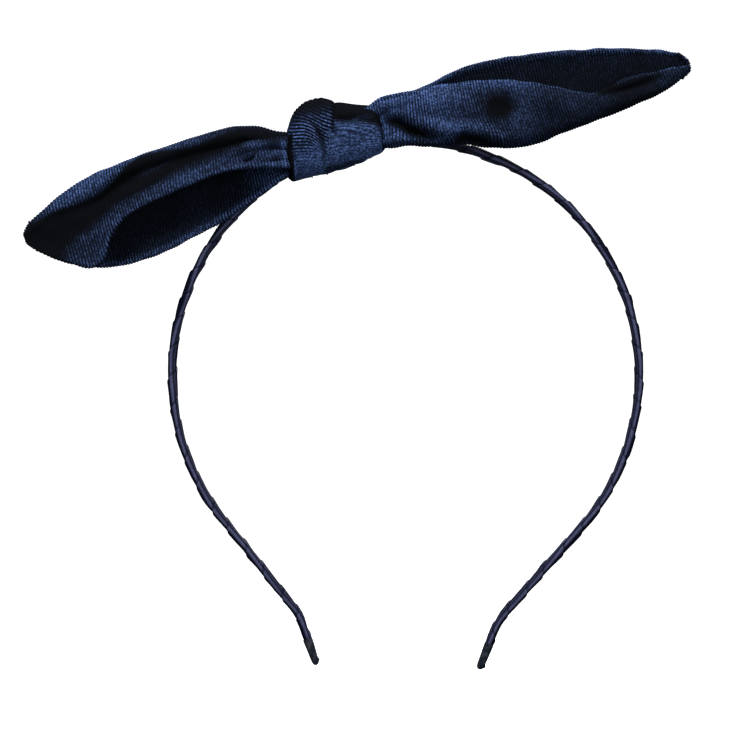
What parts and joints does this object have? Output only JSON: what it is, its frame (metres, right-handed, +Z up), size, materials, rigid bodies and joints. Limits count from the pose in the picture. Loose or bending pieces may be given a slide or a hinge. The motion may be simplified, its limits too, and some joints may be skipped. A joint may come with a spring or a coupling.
{
  "type": "knotted headband",
  "caption": "Slim satin-wrapped steel headband with a ribbed velvet bow knotted off-centre on the crown and two long pointed tails.",
  "frame": {"origin": "middle of the crown's inner face, where the band rests on the head", "axes": "+Z up as worn, +X across the head towards the right-hand tail, and the knot's face looks along -Y"},
  "size_m": [0.1777, 0.0219, 0.1684],
  "materials": {
    "band_steel": "plain spring-steel strip, hidden under the satin",
    "satin_ribbon": "navy satin ribbon wound round the steel in overlapping turns",
    "cap_vinyl": "dark soft vinyl end cap",
    "velvet": "deep navy ribbed stretch velvet with a directional pile",
    "sewing_thread": "navy polyester sewing thread",
    "clear_glue": "film of hot glue, hidden in the knot"
  },
  "bodies": {
    "crown": {"steel_crown": "band_steel", "ribbon_crown": "satin_ribbon", "knot_core": "velvet", "knot_lobe": "velvet", "knot_wrap": "velvet", "knot_underpass": "velvet", "knot_glue_pad": "clear_glue", "knot_tack_stitches": "sewing_thread"},
    "left_arm": {"steel_arm_left": "band_steel", "ribbon_arm_left": "satin_ribbon", "ribbon_tuck_left": "satin_ribbon", "tip_cap_left": "cap_vinyl"},
    "right_arm": {"steel_arm_right": "band_steel", "ribbon_arm_right": "satin_ribbon", "ribbon_tuck_right": "satin_ribbon", "tip_cap_right": "cap_vinyl"},
    "left_tail": {"left_tail_front": "velvet", "left_tail_back": "velvet", "left_tail_seam": "sewing_thread"},
    "right_tail": {"right_tail_front": "velvet", "right_tail_back": "velvet", "right_tail_seam": "sewing_thread"}
  },
  "joints": [
    {"name": "left_arm_flex", "type": "hinge", "parent": "crown", "child": "left_arm", "pos_m": [-0.0491, 0, -0.0207], "axis": [0, 1, 0], "range_deg": [0, 14], "stiffness_Nm_per_rad": 0.9},
    {"name": "right_arm_flex", "type": "hinge", "parent": "crown", "child": "right_arm", "pos_m": [0.0491, 0, -0.0207], "axis": [0, -1, 0], "range_deg": [0, 14], "stiffness_Nm_per_rad": 0.9},
    {"name": "left_tail_swing", "type": "hinge", "parent": "crown", "child": "left_tail", "pos_m": [-0.03662, 0, -0.00442], "axis": [0, 1, 0], "range_deg": [-25, 25], "stiffness_Nm_per_rad": 0.02},
    {"name": "right_tail_swing", "type": "hinge", "parent": "crown", "child": "right_tail", "pos_m": [-0.00517, 0, 0.00494], "axis": [0, -1, 0], "range_deg": [-25, 25], "stiffness_Nm_per_rad": 0.02}
  ]
}
